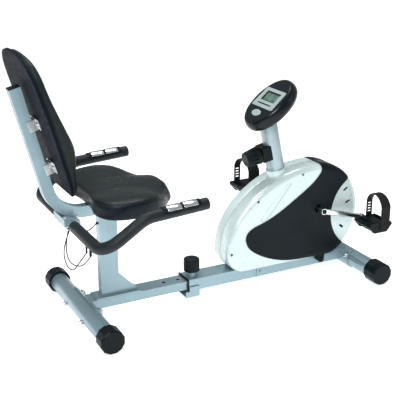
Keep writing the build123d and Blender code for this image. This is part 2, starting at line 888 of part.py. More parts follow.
def housing_shell():
    shell = housing_blank() - housing_blank(-shell_wall)
    collar = rod_between(
        (post_axis_x(360), 0, 360), (post_axis_x(405), 0, 405), post_radius + 4
    )
    shell += (collar & box_between(600, 900, -80, 0, 365, 420)) - housing_blank(-1.0)
    shell -= post_rod(post_radius, 300, 470)
    slot_top = rail_z + outer_half_z
    shell -= box_between(400, 1100, -outer_half_y, outer_half_y, 0, slot_top)
    shell -= rod_y(16, -80, 10, crank_x, crank_z)
    seam = plate_y(housing_outline(-1), -seam_half, 0)
    seam -= plate_y(housing_outline(seam_depth), -seam_half, 0)
    shell -= seam & box_between(400, 1100, -10, 0, slot_top, 500)
    for x, z, turn in ((970, 305, 32), (982, 257, 22), (960, 168, -38)):
        slot = Rot(0, -turn, 0) * Box(20, 20, 8)
        shell -= Pos(x, -shell_half, z) * slot
    return shell - accent_groove()


def accent_groove():
    """A teardrop pressed into the side, with sloping walls."""

    def drop(inset, y):
        small = Pos(740, 362) * Circle(8 - inset)
        large = Pos(640, 250) * Circle(15 - inset)
        outline = make_hull([*small.edges(), *large.edges()])
        plane = Plane(origin=(0, y, 0), x_dir=(1, 0, 0), z_dir=(0, -1, 0))
        return plane * outline

    return loft([drop(0, -shell_half - 0.5), drop(5, -shell_half + accent_depth)])


def screw_places():
    return ((790, 384), (616, 313), (516, 140), (1000, 275))


def housing_right():
    shell = housing_shell()
    for x, z in screw_places()[:3]:
        shell += rod_y(8, -shell_half + 1, -1, x, z)
        shell -= rod_y(screw_radius + 0.1, -80, 10, x, z)
        shell -= rod_y(5, -80, -shell_half + screw_recess, x, z)
    return shell


def housing_left():
    shell = mirrored(housing_shell())
    for x, z in screw_places()[:3]:
        shell += rod_y(8, 1, shell_half - 1, x, z)
        shell -= rod_y(screw_radius + 0.1, -10, 12, x, z)
    return shell


def housing_screws():
    screws = []
    for x, z in screw_places()[:3]:
        seat_y = -shell_half + screw_recess
        head = rod_y(4.5, seat_y - 3, seat_y, x, z)
        screws.append(head + rod_y(screw_radius, seat_y, 10, x, z))
    x, z = cover_lug
    for side in (-1, 1):
        head = rod_y(6.5, side * (shell_half + 2.4), side * (shell_half + 5.4), x, z)
        screws.append(fillet(head.edges().filter_by(GeomType.CIRCLE), 1))
    return group(screws)


def cover_region():
    """Side view of the black cover: a leaf shape that runs up over the top."""
    leaf = Spline(
        (974, 101),
        (938, 78),
        (840, 72),
        (748, 78),
        (672, 97),
        (614, 125),
        (580, 154),
        (569, 182),
        (574, 205),
        (592, 220),
        (626, 232),
        (680, 253),
        (770, 306),
        (850, 366),
        (864, 384),
    )
    rim = Spline((864, 384), (866, 396), (846, 430))
    top = Polyline((846, 430), (1040, 430), (1040, 352), (990, 350))
    hollow = ThreePointArc((990, 350), (911, 228), (974, 101))
    edges = [leaf.edge(), rim.edge(), *top.edges(), hollow.edge()]
    return make_face(edges)


def side_cover():
    skin = housing_blank(cover_thickness) - housing_blank()
    skin &= plate_y(cover_region(), -100, 0)
    skin -= rod_y(15.5, -100, 10, crank_x, crank_z)
    x, z = cover_lug
    lug = rod_y(12, -shell_half - 2.4, -outer_half_y - 0.2, x, z)
    lug += box_between(x - 12, x + 12, -shell_half - 2.4, -shell_half - 0.2, z, 90)
    return skin + (lug - box_between(800, 950, -54.5, -outer_half_y - 0.1, 63.8, 120))


def side_cover_right():
    return side_cover()


def side_cover_left():
    return mirrored(side_cover())


# Cranks and pedals ---------------------------------------------------------


def crank_axle():
    return rod_y(axle_radius, -92, 92, crank_x, crank_z)


def crank_end(side):
    """Right arm points forward at rest, left arm back."""
    turn = radians(crank_angle)
    reach = -side * crank_length
    return crank_x + reach * cos(turn), crank_z + reach * sin(turn)


def crank_arm(side):
    end_x, end_z = crank_end(side)
    outline = make_hull(
        [
            *(Pos(crank_x, crank_z) * Circle(10.5)).edges(),
            *(Pos(end_x, end_z) * Circle(8.5)).edges(),
        ]
    )
    y0, y1 = sorted((side * 85, side * 96))
    arm = plate_y(outline, y0, y1)
    arm = fillet(arm.edges().filter_by(GeomType.LINE), 3.5)
    arm += rod_y(11, side * 63, side * 97, crank_x, crank_z)
    arm += rod_y(10.5, side * 84, side * 97, end_x, end_z)
    arm -= rod_y(axle_radius, side * 60, side * 100, crank_x, crank_z)
    return arm - rod_y(7, side * 80, side * 100, end_x, end_z)


def crank_bolts():
    cap = rod_y(axle_radius, 92, 98, crank_x, crank_z)
    cap += rod_y(7.5, 98, 100, crank_x, crank_z)
    return both_sides(cap)


def pedal_axles():
    axles = []
    for side in (-1, 1):
        x, z = crank_end(side)
        axle = rod_y(7, side * 82, side * 101, x, z)
        axle += rod_y(6, side * 101, side * (pedal_y + pedal_half_y - 6), x, z)
        axles.append(axle)
    return group(axles)


def pedal(side):
    """Tread block, weighted below so that it hangs level."""
    x, z = crank_end(side)
    outline = make_face(
        Polyline((-44, 10), (44, 10), (48, 2), (26, -24), (-26, -24), (-46, 0), close=True)
    )
    body = plate_y(outline, -pedal_half_y, pedal_half_y)
    for place in (-29, 29):
        body -= box_between(place - 9, place + 9, -34, 34, -40, 40)
    for step in range(-3, 4):
        body -= box_between(-60, 60, step * 12 - 2, step * 12 + 2, 8, 20)
    body -= rod_y(6 + running_gap, -60, side * (pedal_half_y - 4), 0, 0)
    body -= rod_y(6 + running_gap, -side * 60, side * (pedal_half_y - 5.9), 0, 0)
    return Pos(x, side * pedal_y, z) * body


def strap_plan(side):
    """Seen from above, the strap narrows from its buckle to its row of holes."""
    y = pedal_half_y + strap_thickness
    buckle = strap_buckle_end[side]
    holed = strap_holed_end[side]
    outline = [(buckle[0], -y), (buckle[1], -y), (holed[1], y), (holed[0], y)]
    return make_face(Polyline(*outline, close=True))


def pedal_strap(side):
    """Strap over the foot, in a slot on each end of the tread block."""
    x, z = crank_end(side)

    def arch(half, drop):
        top = strap_height - pedal_half_y + half
        bend = half - 12
        flank = Line((half, drop), (half, top - bend))
        crown = ThreePointArc((half, top - bend), (0, top), (-half, top - bend))
        other = Line((-half, top - bend), (-half, drop))
        closing = Line((-half, drop), (half, drop))
        edges = [flank.edge(), crown.edge(), other.edge(), closing.edge()]
        return make_face(edges)

    across = Plane(origin=(-60, 0, 0), x_dir=(0, 1, 0), z_dir=(1, 0, 0))
    strap = extrude(across * arch(pedal_half_y + strap_thickness, -14), amount=120)
    strap -= extrude(across * arch(pedal_half_y, -20), amount=120)
    strap &= extrude(Pos(0, 0, -30) * strap_plan(side), amount=200)
    for step in range(4):
        middle = sum(strap_holed_end[side]) / 2
        strap -= Pos(middle, pedal_half_y + 1.5, 24 + 10 * step) * Box(13, 12, 4.5)
    axle_gap = Rot(90, 0, 0) * Cylinder(strap_gap_radius, 12)
    strap -= Pos(0, -side * (pedal_half_y + 1.5), 0) * axle_gap
    return Pos(x, side * pedal_y, z) * strap


# Console and tension control -----------------------------------------------


def console_post():
    top_z = 582
    post = post_rod(post_radius, post_start_z, top_z)
    post -= post_rod(spigot_radius, post_start_z - 10, top_z + 10)
    cut = console_plane() * Pos(0, 0, 200 - console_half_depth)
    post -= cut * Box(500, 500, 400)
    return post


def control_plane():
    """Origin on the post axis, z pointing back towards the rider, square to the post."""
    lean = atan2(post_slope, 1)
    return Plane(
        origin=(post_axis_x(control_z), 0, control_z),
        x_dir=(0, 1, 0),
        z_dir=(-cos(lean), 0, -sin(lean)),
    )


def tension_block():
    block = Pos(0, 0, 27) * Box(50, 54, 46)
    block = fillet(block.edges().filter_by(Axis.Z), 4)
    block = control_plane() * block
    block += control_plane() * (Pos(0, 0, 53) * Cylinder(9, 8))
    block -= post_rod(post_radius, 300, 600)
    return block - control_plane() * (Pos(0, 0, 50) * Cylinder(4, 60))


def tension_knob():
    knob = Pos(0, 0, 83) * Cone(31, 25, 52)
    knob = fillet(knob.edges().group_by(Axis.Z)[-1], 4)
    for flute in range(12):
        turn = radians(flute * 30)
        place = Pos(27.5 * cos(turn), 27.5 * sin(turn), 94)
        knob -= place * Cylinder(3.8, 44)
    stem = Pos(0, 0, 48) * Cylinder(4 - running_gap, 24)
    marker = Pos(0, 15, 109.5) * Box(2.4, 12, 1)
    return control_plane() * (knob + stem + marker)


def cable_points():
    """From the control, down inside the post, then out to the magnet arm."""
    top_z = control_z - 34
    low_z = 331
    return (
        (post_axis_x(top_z), 0, top_z),
        (post_axis_x(low_z), 0, low_z),
        (660, -6, 306),
        (582, -13, 284),
        (560, -13, 266),
    )


def tension_cable():
    return swept(FilletPolyline(*cable_points(), radius=[12, 60, 14]), 2)


def console_plane():
    tilt = radians(console_tilt)
    return Plane(
        origin=console_centre,
        x_dir=(0, -1, 0),
        z_dir=(-sin(tilt), 0, cos(tilt)),
    )


def console_blank(inset=0.0):
    """Rounded oval pod, lofted through ellipses from its back to its face."""
    layers = ((-1, 22), (-0.72, 8), (-0.3, 1), (0.3, 0), (0.72, 3), (1, 9))
    depth = console_half_depth - inset
    sections = []
    for place, shrink in layers:
        width = console_half_width - inset - shrink
        length = console_half_length - inset - shrink
        sections.append(Pos(0, 0, place * depth) * Ellipse(width, length))
    return loft(sections)


def display_outline(inset=0.0):
    top = 50.0 - inset
    points = (
        (-62 + inset, -30 + inset),
        (62 - inset, -30 + inset),
        (58 - inset, top),
        (-58 + inset, top),
    )
    return make_face(FilletPolyline(*points, radius=6 - inset / 4, close=True))


def console_shell():
    return console_blank() - console_blank(console_wall)


def console_back():
    half = console_shell() & Pos(0, 0, -50) * Box(300, 300, 100)
    half = console_plane() * half
    return half - post_rod(spigot_radius - 6, 500, 640)


def console_front():
    half = console_shell() & Pos(0, 0, 50) * Box(300, 300, 100)
    half -= extrude(Pos(0, 0, 10) * display_outline(), amount=30)
    half -= extrude(Pos(0, -54, 15) * Ellipse(23.3, 13.3), amount=20)
    return console_plane() * half


def console_bezel():
    depth = console_half_depth
    plate = extrude(Pos(0, 0, depth - 3) * display_outline(0.05), amount=4)
    window = Pos(0, 18, 0) * Box(82, 40, 100)
    plate -= window
    plate -= Pos(0, -15, depth) * Box(78, 3, 2.4)
    return console_plane() * plate


def lcd_panel():
    panel = Pos(0, 18, console_half_depth - 4.5) * Box(88, 46, 3)
    return console_plane() * panel


def console_button():
    button = extrude(Pos(0, -54, 17) * Ellipse(23, 13), amount=10.5)
    button = fillet(button.edges().group_by(Axis.Z)[-1], 1.5)
    flange = extrude(Pos(0, -54, 16) * Ellipse(26, 15.5), amount=2.5)
    return console_plane() * (button + flange)


def all_pieces():
    pieces = {
        "inner_rail_tube": inner_rail_tube(),
        "rear_stabiliser_tube": stabiliser_tube(
            0, rear_half_width, rear_bolt_tilt, rear_bolt_y
        ),
        "rear_saddle_bolts": saddle_bolts(0, rear_bolt_tilt, rear_bolt_y),
        "rear_end_caps": end_caps(0, rear_half_width, rear_cap_length, 0),
        "seat_post": seat_post(),
        "seat_frame_tube": seat_frame_tube(),
        "seat_frame_plugs": seat_frame_plugs(),
        "seat_pan": seat_pan(),
        "seat_cushion": seat_cushion(),
        "backrest_brackets": backrest_brackets(),
        "backrest_bolts": backrest_bolts(),
        "backrest_board": backrest_board(),
        "backrest_cushion": backrest_cushion(),
        "handlebar_clamp": handlebar_clamp(),
        "handlebar_u_bolts": handlebar_u_bolts(),
        "handlebar_tube": handlebar_tube(),
        "foam_grips": foam_grips(),
        "pulse_holders": pulse_holders(),
        "pulse_plates": pulse_plates(),
        "pulse_lead_plugs": pulse_lead_plugs(),
        "outer_rail_tube": outer_rail_tube(),
        "rail_bushing": rail_bushing(),
        "pull_pin": pull_pin(),
        "pull_pin_spring": pull_pin_spring(),
        "pull_pin_knob": pull_pin_knob(),
        "front_stabiliser_tube": stabiliser_tube(
            stabiliser_gap, front_half_width, front_bolt_tilt, front_bolt_y
        ),
        "front_saddle_bolts": saddle_bolts(
            stabiliser_gap, front_bolt_tilt, front_bolt_y
        ),
        "front_end_caps": end_caps(
            stabiliser_gap, front_half_width, front_cap_length, 2
        ),
        "drive_frame": drive_frame(),
        "bottom_bracket_bearings": bottom_bracket_bearings(),
        "flywheel": flywheel(),
        "crank_pulley": crank_pulley(),
        "drive_belt": drive_belt(),
        "magnet_bracket": magnet_bracket(),
        "housing_right": housing_right(),
        "housing_left": housing_left(),
        "housing_screws": housing_screws(),
        "side_cover_right": side_cover_right(),
        "side_cover_left": side_cover_left(),
        "crank_axle": crank_axle(),
        "crank_arm_right": crank_arm(-1),
        "crank_arm_left": crank_arm(1),
        "crank_bolts": crank_bolts(),
        "pedal_axles": pedal_axles(),
        "pedal_right": pedal(-1),
        "pedal_left": pedal(1),
        "pedal_strap_right": pedal_strap(-1),
        "pedal_strap_left": pedal_strap(1),
        "console_post": console_post(),
        "tension_block": tension_block(),
        "tension_knob": tension_knob(),
        "tension_cable": tension_cable(),
        "console_back": console_back(),
        "console_front": console_front(),
        "console_bezel": console_bezel(),
        "lcd_panel": lcd_panel(),
        "console_button": console_button(),
    }
    for name, points in lead_routes().items():
        pieces[name] = lead_tube(name, points)
    return pieces


os.makedirs("parts", exist_ok=True)
for node, shape in all_pieces().items():
    export_step(Pos(-bike_centre_x, 0, 0) * shape, "parts/" + node + ".step")
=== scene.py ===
import json
import math

import bpy
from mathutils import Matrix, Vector
from mathutils.bvhtree import BVHTree


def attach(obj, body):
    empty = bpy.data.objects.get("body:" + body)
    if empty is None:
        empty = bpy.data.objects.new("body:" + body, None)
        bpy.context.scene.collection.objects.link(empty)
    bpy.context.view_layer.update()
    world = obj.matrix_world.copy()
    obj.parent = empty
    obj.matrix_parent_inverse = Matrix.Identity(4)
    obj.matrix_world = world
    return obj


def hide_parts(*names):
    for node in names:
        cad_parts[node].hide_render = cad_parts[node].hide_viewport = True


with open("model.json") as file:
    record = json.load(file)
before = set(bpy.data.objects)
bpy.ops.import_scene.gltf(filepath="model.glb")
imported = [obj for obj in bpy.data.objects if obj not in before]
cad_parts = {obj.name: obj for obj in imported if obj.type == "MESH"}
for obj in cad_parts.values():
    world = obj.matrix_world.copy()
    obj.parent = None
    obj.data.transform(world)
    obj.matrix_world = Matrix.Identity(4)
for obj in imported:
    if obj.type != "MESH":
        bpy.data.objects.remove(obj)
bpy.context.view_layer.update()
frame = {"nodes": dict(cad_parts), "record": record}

# Everything is in metres. The design is drawn with x = 0 at the rear stabiliser, and the
# frame's origin is this far in front of it.
BIKE_CENTRE_X = 0.438005

# Camera
CAMERA_AZIMUTH = -27.19
CAMERA_ELEVATION = 19.53
CAMERA_LENS = 80.8
CAMERA_SENSOR = 36.0
CAMERA_DISTANCE = 2.9604
CAMERA_TARGET = (-0.0139, 0.0, 0.3342)

# Seat cushion: half widths along its length, from the rear corner to the nose.
SEAT_OUTLINE = (
    (0.010, 0.108),
    (0.013, 0.143),
    (0.030, 0.177),
    (0.062, 0.197),
    (0.098, 0.204),
    (0.142, 0.202),
    (0.186, 0.184),
    (0.222, 0.150),
    (0.248, 0.121),
    (0.268, 0.094),
    (0.289, 0.068),
    (0.303, 0.036),
)
SEAT_REAR = ((0.020, 0.060), (0.023, 0.0), (0.020, -0.060))
SEAT_CENTRE_X = 0.165
# The underside, and the lip round it, which both come down where the nose starts.
SEAT_BOTTOM_Z = 0.3985
SEAT_NOSE_BOTTOM_Z = 0.3820
SEAT_LIP_Z = 0.3865
SEAT_NOSE_LIP_Z = 0.3780
SEAT_NOSE_STEP = (0.205, 0.240)
# Height of the seam at the edge, along the seat.
SEAT_SEAM = (
    (0.000, 0.430),
    (0.090, 0.436),
    (0.150, 0.438),
    (0.190, 0.432),
    (0.230, 0.417),
    (0.262, 0.409),
    (0.290, 0.412),
    (0.330, 0.418),
)
# Height of the top in the middle, along the seat, and how far its sides stand over it.
SEAT_TOP = (
    (0.000, 0.437),
    (0.080, 0.434),
    (0.160, 0.434),
    (0.220, 0.434),
    (0.270, 0.434),
    (0.330, 0.432),
)
SEAT_WING = (
    (0.000, 0.006),
    (0.070, 0.011),
    (0.140, 0.013),
    (0.190, 0.007),
    (0.230, -0.008),
    (0.262, -0.014),
    (0.300, -0.008),
    (0.330, -0.004),
)
# The wings start this far from the middle and reach full height over a span, which
# narrows by a share along the seat.
SEAT_WING_START = 0.04
SEAT_WING_SPAN = 0.11
SEAT_WING_NARROWING = 0.4
SEAT_WING_NARROWS = (0.16, 0.26)
# The side band leans in towards the nose.
SEAT_NOSE_LEAN = 0.09
SEAT_LEAN_STARTS = (0.22, 0.29)
# Loops from the middle of the underside to the middle of the top. Each is a share of the
# outline, then how far up the side band or over the crown it is.
SEAT_UNDER_LOOPS = (0.15, 0.5, 0.8, 0.89)
SEAT_LIP_LOOPS = (0.92, 0.965)
SEAT_SIDE_LOOPS = ((0.99, 0.15), (1.0, 0.5), (0.997, 0.85))
SEAT_SEAM_LOOP = 0.988
SEAT_CROWN_LOOPS = ((0.965, 0.45), (0.94, 0.8), (0.90, 0.97), (0.8, 1.0))
SEAT_TOP_LOOPS = (0.6, 0.4, 0.2, 0.06)
SEAT_SEAM_LEVELS = (9,)

# Backrest: across and up on its own plane, which leans back from its foot.
BACK_FOOT = (-0.053, 0.0, 0.465)
BACK_LEAN = math.radians(17.0)
BOARD_THICKNESS = 0.009
BACK_OUTLINE = (
    (0.096, -0.012),
    (0.119, 0.045),
    (0.131, 0.110),
    (0.141, 0.170),
    (0.146, 0.240),
    (0.143, 0.310),
    (0.129, 0.373),
    (0.089, 0.412),
    (0.0, 0.426),
)
BACK_CENTRE_V = 0.200
# How far the front edge stands in front of the board's rear face, going up.
BACK_EDGE = (
    (-0.015, 0.022),
    (0.045, 0.031),
    (0.110, 0.049),
    (0.142, 0.051),
    (0.190, 0.045),
    (0.258, 0.036),
    (0.305, 0.032),
    (0.385, 0.031),
    (0.430, 0.025),
)

BACK_LOW_EDGE = (-0.06, 0.0, 0.06)
BACK_LOW_SAG = 0.002
# Loops from the middle of the rear face to the middle of the front: shares of the outline,
# or how far in from it and how far across the side band.
BACK_REAR_LOOPS = (0.15, 0.5, 0.8)
BACK_SIDE_LOOPS = (
    (0.010, 0.0),
    (0.003, 0.04),
    (0.0, 0.25),
    (0.0, 0.6),
    (0.003, 0.85),
    (0.009, 0.97),
    (0.018, 1.02),
)
BACK_FRONT_LOOPS = (0.80, 0.66, 0.45, 0.22, 0.07)
BACK_CROWN = 0.004
BACK_CROWN_EDGE = 0.001
BACK_SEAM_LEVELS = (4, 9)

# Cloth simulation
CLOTH_VOXEL = 0.005
CLOTH_PRESSURE = 4.0
CLOTH_FRAMES = 20
CLOTH_CAP = 0.022
CLOTH_SETTINGS = {
    "pin_stiffness": 1.0,
    "quality": 5,
    "mass": 0.3,
    "tension_stiffness": 12,
    "compression_stiffness": 12,
    "shear_stiffness": 5,
    "bending_stiffness": 0.4,
}
SETTLE_SHARE = 0.5
SETTLE_PASSES = 12
# A point within reach of a seam or of the flat base is held still.
HELD_REACH = 0.006
BASE_REACH = 0.003
LOOP_POINTS = 160
CURVE_STEPS = 10

# Seams: how far the cover is drawn in, over what reach, and the piping laid on it.
GROOVE_REACH = 0.009
GROOVE_DEPTH = 0.0022
SEAT_PIPING = 0.0014
BACK_PIPING = 0.0022
PIPING_SIDES = 10
PIPING_SMOOTHING = 2
# Painted shade: the darker vinyl of a seat's side band reaches this far over its seam.
BAND_MARGIN = 0.0005

# Sharp edges of the CAD pieces
WELD_REACH = 0.00001
EDGE_RADIUS = 0.0007
EDGE_SEGMENTS = 2
EDGE_ANGLE = math.radians(38)

# Console: the middle of its pod, and how far its face leans from level.
CONSOLE_CENTRE = (0.690, 0.0, 0.622)
CONSOLE_TILT = math.radians(40.0)
# Digits on the display: value, place across and up, and height.
DISPLAY_DIGITS = (
    (1, -0.030, 0.020, 0.013),
    (2, -0.018, 0.020, 0.013),
    (4, 0.003, 0.020, 0.013),
    (5, 0.015, 0.020, 0.013),
    (0, -0.031, 0.006, 0.007),
    (2, -0.024, 0.006, 0.007),
    (5, -0.017, 0.006, 0.007),
    (1, 0.006, 0.006, 0.007),
    (3, 0.013, 0.006, 0.007),
    (8, 0.020, 0.006, 0.007),
)
# Each digit's width and stroke, and the gap at the ends of its bars, as shares.
DIGIT_WIDTH = 0.55
DIGIT_STROKE = 0.13
DIGIT_GAP = 0.6
# Dark surround of the display: half widths and heights, inside and outside.
SURROUND_ACROSS = (0.0365, 0.0408)
SURROUND_LOW = (0.0020, -0.0018)
SURROUND_HIGH = (0.0340, 0.0378)
# Painted shade: a dark strip for the slot's opening, its lower left and upper right corners
# across and up.
SHADED_SLOT = (-0.0385, -0.0173, 0.0385, -0.0127)
# Depths of the details, out from the middle of the pod.
DIGIT_DEPTH = (0.0220, 0.0223)
SURROUND_DEPTH = (0.0220, 0.0238)
SHADED_SLOT_DEPTH = (0.0240, 0.0263)
# Bars lit for each digit, clockwise from the top, the middle one last.
SEGMENTS = (
    (0, 1, 2, 3, 4, 5),
    (1, 2),
    (0, 1, 6, 4, 3),
    (0, 1, 6, 2, 3),
    (5, 6, 1, 2),
    (0, 5, 6, 2, 3),
    (0, 5, 4, 3, 2, 6),
    (0, 1, 2),
    (0, 1, 2, 3, 4, 5, 6),
    (0, 1, 2, 3, 5, 6),
)

# Pulse leads: the route points of part.py, in metres.
LEAD_DIAMETER = 0.0036
LEADS = {
    "pulse_lead_a": (
        0.2635,
        (
            (-0.035, -0.010, 0.318),
            (-0.052, -0.020, 0.272),
            (-0.058, -0.062, 0.234),
            (-0.054, -0.118, 0.238),
            (-0.044, -0.168, 0.258),
            (-0.035, -0.199, 0.298),
        ),
    ),
    "pulse_lead_b": (
        0.2517,
        (
            (-0.035, -0.020, 0.318),
            (-0.062, -0.030, 0.272),
            (-0.070, -0.066, 0.228),
            (-0.064, -0.116, 0.222),
            (-0.058, -0.152, 0.258),
            (-0.035, -0.165, 0.296),
        ),
    ),
    "pulse_lead_c": (
        0.1073,
        (
            (0.058, -0.002, 0.316),
            (0.027, -0.020, 0.300),
            (-0.003, -0.039, 0.319),
            (-0.015, -0.054, 0.343),
        ),
    ),
}

# Studio
FLOOR_REACH = 60
FLOOR_GLOW = 0.66
SKY_STRENGTH = 0.38

# Share of a texture's range over which its colour and roughness change.
TEXTURE_LOW = 0.3
TEXTURE_HIGH = 0.7


# Materials -------------------------------------------------------------------


class Finish:
    """A procedural material: colour, roughness and bump all vary over the surface."""

    def __init__(self, name, colour, metallic=0.0, **sockets):
        self.material = bpy.data.materials.new(name)
        self.material.use_nodes = True
        self.nodes = self.material.node_tree.nodes
        self.links = self.material.node_tree.links
        self.shader = self.nodes["Principled BSDF"]
        self.shader.inputs["Metallic"].default_value = metallic
        for socket, value in sockets.items():
            self.shader.inputs[socket.replace("_", " ")].default_value = value
        self.place = self.nodes.new("ShaderNodeTexCoord").outputs["Object"]
        self.normal = None
        self.colour = colour

    def stretched(self, scale):
        mapping = self.nodes.new("ShaderNodeMapping")
        mapping.inputs["Scale"].default_value = scale
        self.links.new(self.place, mapping.inputs["Vector"])
        return mapping.outputs["Vector"]

    def noise(self, scale, detail, stretch=None):
        node = self.nodes.new("ShaderNodeTexNoise")
        node.inputs["Scale"].default_value = scale
        node.inputs["Detail"].default_value = detail
        place = self.place if stretch is None else self.stretched(stretch)
        self.links.new(place, node.inputs["Vector"])
        return node.outputs["Fac"]

    def cells(self, scale, feature="F1"):
        node = self.nodes.new("ShaderNodeTexVoronoi")
        node.feature = feature
        node.inputs["Scale"].default_value = scale
        self.links.new(self.place, node.inputs["Vector"])
        return node.outputs["Distance"]

    def spread(self, value, low, high):
        node = self.nodes.new("ShaderNodeMapRange")
        node.inputs["From Min"].default_value = TEXTURE_LOW
        node.inputs["From Max"].default_value = TEXTURE_HIGH
        node.inputs["To Min"].default_value = low
        node.inputs["To Max"].default_value = high
        self.links.new(value, node.inputs["Value"])
        return node.outputs["Result"]

    def tint(self, value, dark, light):
        """Colour between dark and light shares of the base colour, by a texture."""
        ramp = self.nodes.new("ShaderNodeValToRGB")
        low, high = ramp.color_ramp.elements
        low.position = TEXTURE_LOW
        high.position = TEXTURE_HIGH
        low.color = (*[c * dark for c in self.colour], 1.0)
        high.color = (*[min(1, c * light) for c in self.colour], 1.0)
        self.links.new(value, ramp.inputs["Fac"])
        self.links.new(ramp.outputs["Color"], self.shader.inputs["Base Color"])

    def polish(self, value, low, high):
        self.links.new(self.spread(value, low, high), self.shader.inputs["Roughness"])

    def bump(self, height, depth, strength=0.6):
        node = self.nodes.new("ShaderNodeBump")
        node.inputs["Strength"].default_value = strength
        node.inputs["Distance"].default_value = depth
        self.links.new(height, node.inputs["Height"])
        if self.normal is not None:
            self.links.new(self.normal, node.inputs["Normal"])
        self.normal = node.outputs["Normal"]
        self.links.new(self.normal, self.shader.inputs["Normal"])


def metallic_paint(name, colour, roughness, metallic=0.55):
    """Sprayed silver: fine flake, a slight orange peel and handling marks."""
    f = Finish(name, colour, metallic, Coat_Weight=0.35, Coat_Roughness=0.22)
    f.tint(f.noise(9, 4), 0.93, 1.05)
    f.polish(f.noise(35, 5), roughness - 0.05, roughness + 0.08)
    f.bump(f.noise(420, 2), 0.0001, 0.25)
    f.bump(f.noise(2600, 2), 0.00002, 0.2)
    return f.material


def moulded_plastic(name, colour, roughness, grain=900.0):
    """Spark-eroded mould texture with slight flow variation."""
    f = Finish(name, colour, Specular_IOR_Level=0.13)
    f.tint(f.noise(14, 4), 0.8, 1.25)
    f.polish(f.noise(45, 4), roughness - 0.06, roughness + 0.08)
    f.bump(f.noise(grain, 3), 0.00025, 0.4)
    return f.material


def vinyl(name, colour, roughness, gloss=0.17):
    """Upholstery vinyl: pressed leather grain over soft creasing."""
    f = Finish(name, colour, Specular_IOR_Level=gloss)
    f.tint(f.noise(18, 5), 0.82, 1.2)
    f.polish(f.noise(60, 4), roughness - 0.06, roughness + 0.10)
    f.bump(f.noise(16, 2), 0.0012, 0.2)
    f.bump(f.cells(700, "SMOOTH_F1"), 0.00025, 0.4)
    f.bump(f.noise(1500, 3), 0.00008, 0.4)
    return f.material


def glossy_plastic(name, colour):
    """Polished moulding: a clear, slightly rippled shine with fine handling haze."""
    f = Finish(
        name, colour, Specular_IOR_Level=0.2, Coat_Weight=0.12, Coat_Roughness=0.1
    )
    f.tint(f.noise(14, 4), 0.8, 1.25)
    f.polish(f.noise(45, 4), 0.18, 0.30)
    f.bump(f.noise(260, 2), 0.00006, 0.3)
    return f.material


def foam(name, colour):
    """Closed-cell foam sleeve: matt, pitted."""
    f = Finish(name, colour, Specular_IOR_Level=0.28)
    f.tint(f.noise(25, 4), 0.75, 1.25)
    f.polish(f.noise(70, 3), 0.40, 0.55)
    f.bump(f.cells(1100), 0.0003, 0.6)
    f.bump(f.noise(240, 4), 0.0005, 0.35)
    return f.material


def plated(name, colour, roughness):
    """Chrome plate with faint smears and polishing ripple."""
    f = Finish(name, colour, 1.0)
    f.tint(f.noise(30, 4), 0.9, 1.03)
    f.polish(f.noise(50, 6), roughness, roughness + 0.12)
    f.bump(f.noise(90, 2), 0.0002, 0.12)
    return f.material


def worked_steel(name, colour, roughness, stretch=(1.0, 1.0, 1.0)):
    """Zinc plated or machined steel: fine marks, dull patches."""
    f = Finish(name, colour, 1.0)
    f.tint(f.noise(40, 6), 0.75, 1.1)
    f.polish(f.noise(120, 5), roughness - 0.08, roughness + 0.15)
    f.bump(f.noise(500, 4, stretch), 0.0001, 0.4)
    return f.material


def cast_iron(name, colour):
    """Rough casting with worn patches."""
    f = Finish(name, colour, 0.9)
    f.tint(f.noise(60, 6), 0.7, 1.2)
    f.polish(f.noise(80, 5), 0.35, 0.65)
    f.bump(f.noise(300, 6), 0.0006, 0.5)
    return f.material


def plywood(name, colour):
    """Grain drawn out along the seat."""
    f = Finish(name, colour)
    f.tint(f.noise(30, 6, (1.0, 14.0, 40.0)), 0.65, 1.15)
    f.polish(f.noise(60, 4), 0.6, 0.8)
    f.bump(f.noise(200, 5, (1.0, 12.0, 12.0)), 0.0003, 0.5)
    return f.material


def display(name, colour):
    """Reflective grey-green glass with a faint mottling under it."""
    f = Finish(name, colour, Coat_Weight=0.6, Coat_Roughness=0.08)
    f.tint(f.noise(180, 3), 0.85, 1.12)
    f.polish(f.noise(90, 4), 0.18, 0.32)
    f.bump(f.noise(700, 2), 0.00005, 0.3)
    return f.material


